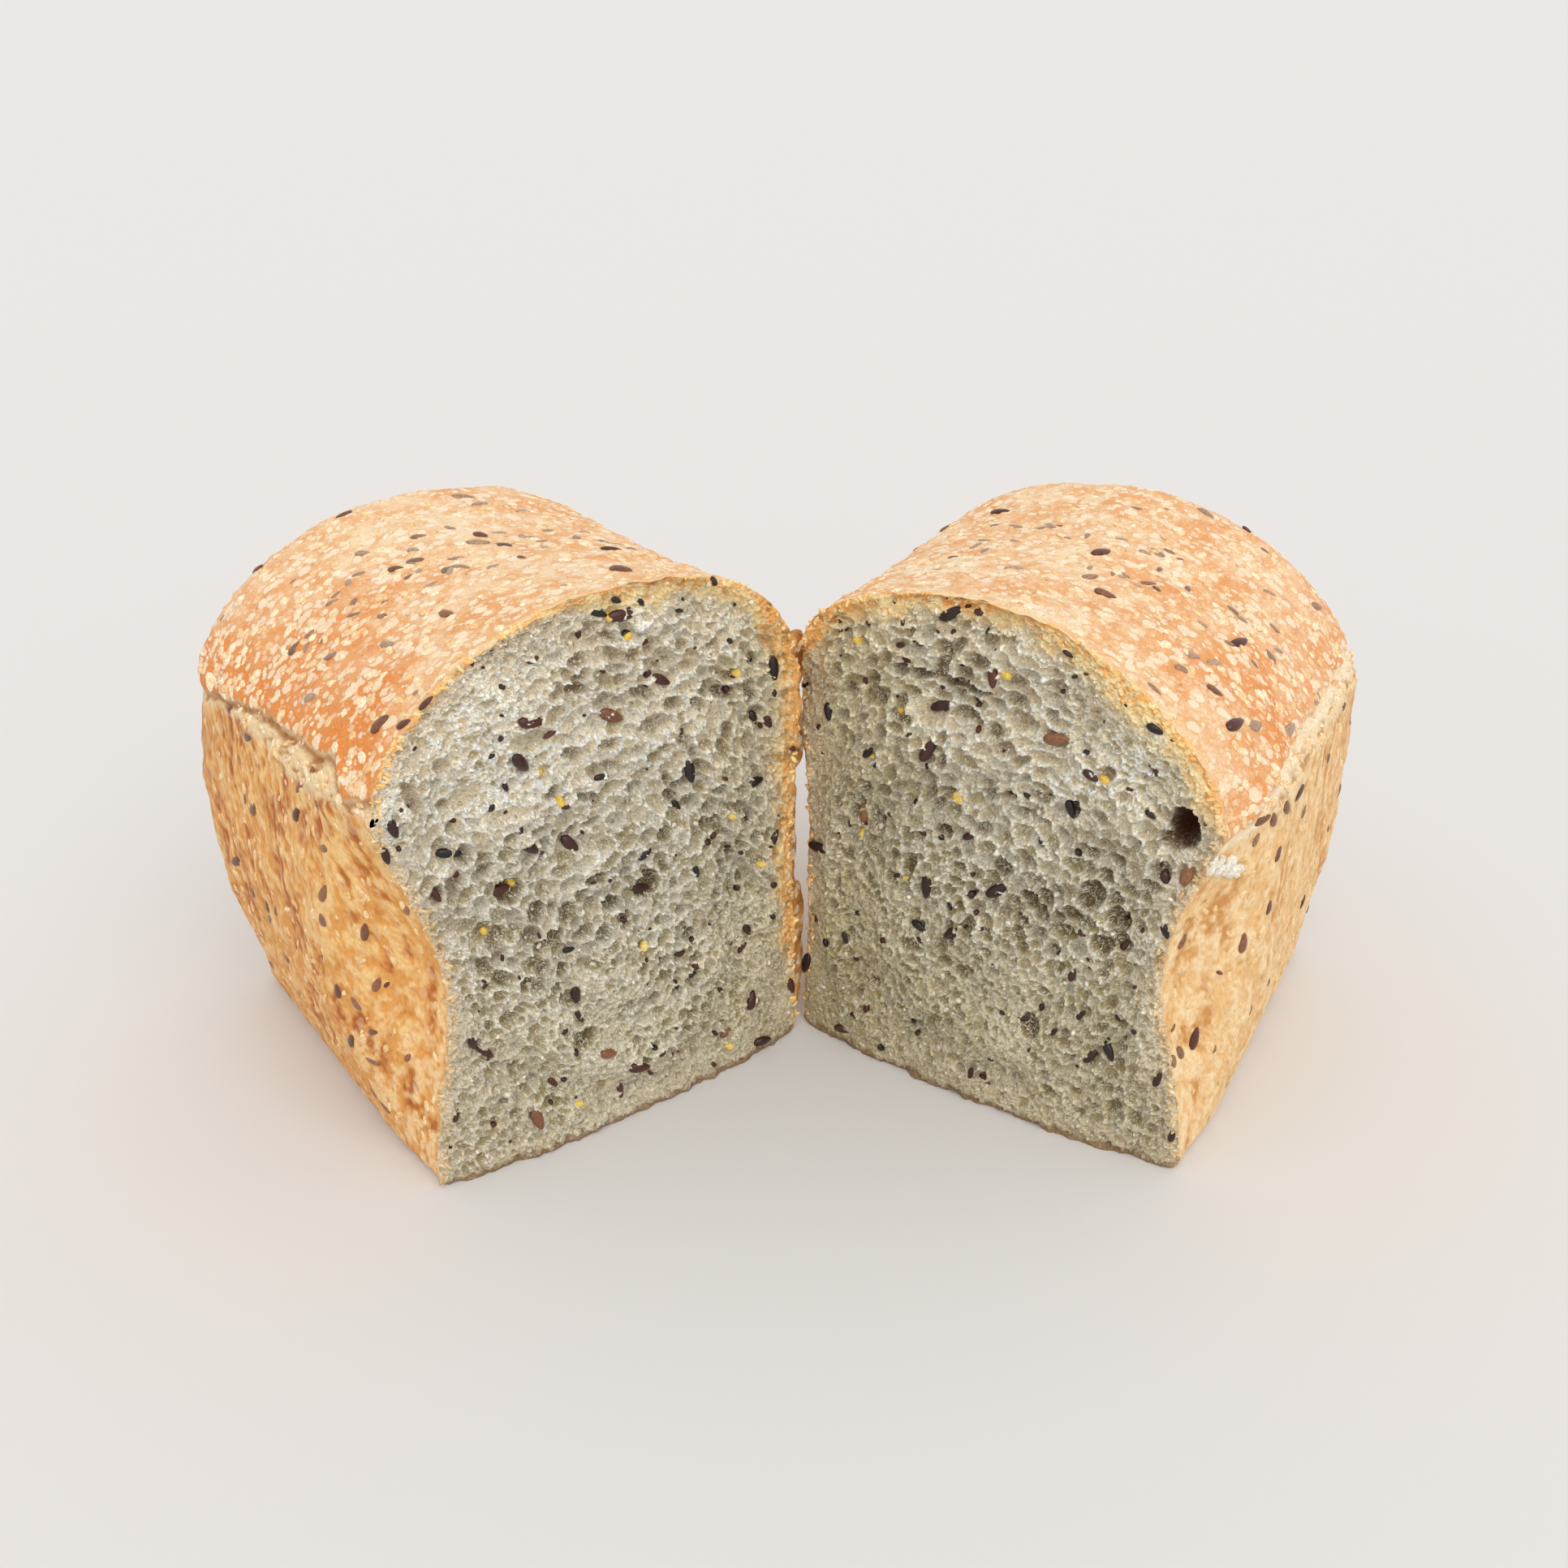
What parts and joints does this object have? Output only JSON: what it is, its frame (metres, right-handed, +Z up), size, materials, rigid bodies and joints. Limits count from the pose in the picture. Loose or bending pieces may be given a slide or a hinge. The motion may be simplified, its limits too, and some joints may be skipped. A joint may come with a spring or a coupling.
{
  "type": "multigrain bread loaf",
  "caption": "Domed seeded tin loaf of bread, torn open across the middle like a book and still joined by a strip of back crust.",
  "frame": {"origin": "centre of the bounding box at the height of the flat undersides, on the surface that the loaf stands on", "axes": "+X across both halves to the viewer's right, +Y away from the viewer, +Z up; the torn faces look towards -Y"},
  "size_m": [0.2504, 0.1395, 0.1167],
  "materials": {
    "crust": "matt baked crust, peach tan on the dome and golden ochre on the walls, with cream specks",
    "crumb": "matt open crumb, cream grey with olive grey cells",
    "flax_seed": "dark brown seed with a soft shine",
    "pale_grain": "cream grain and yellow grit"
  },
  "bodies": {
    "root": {"loaf": "crust"}
  },
  "joints": []
}
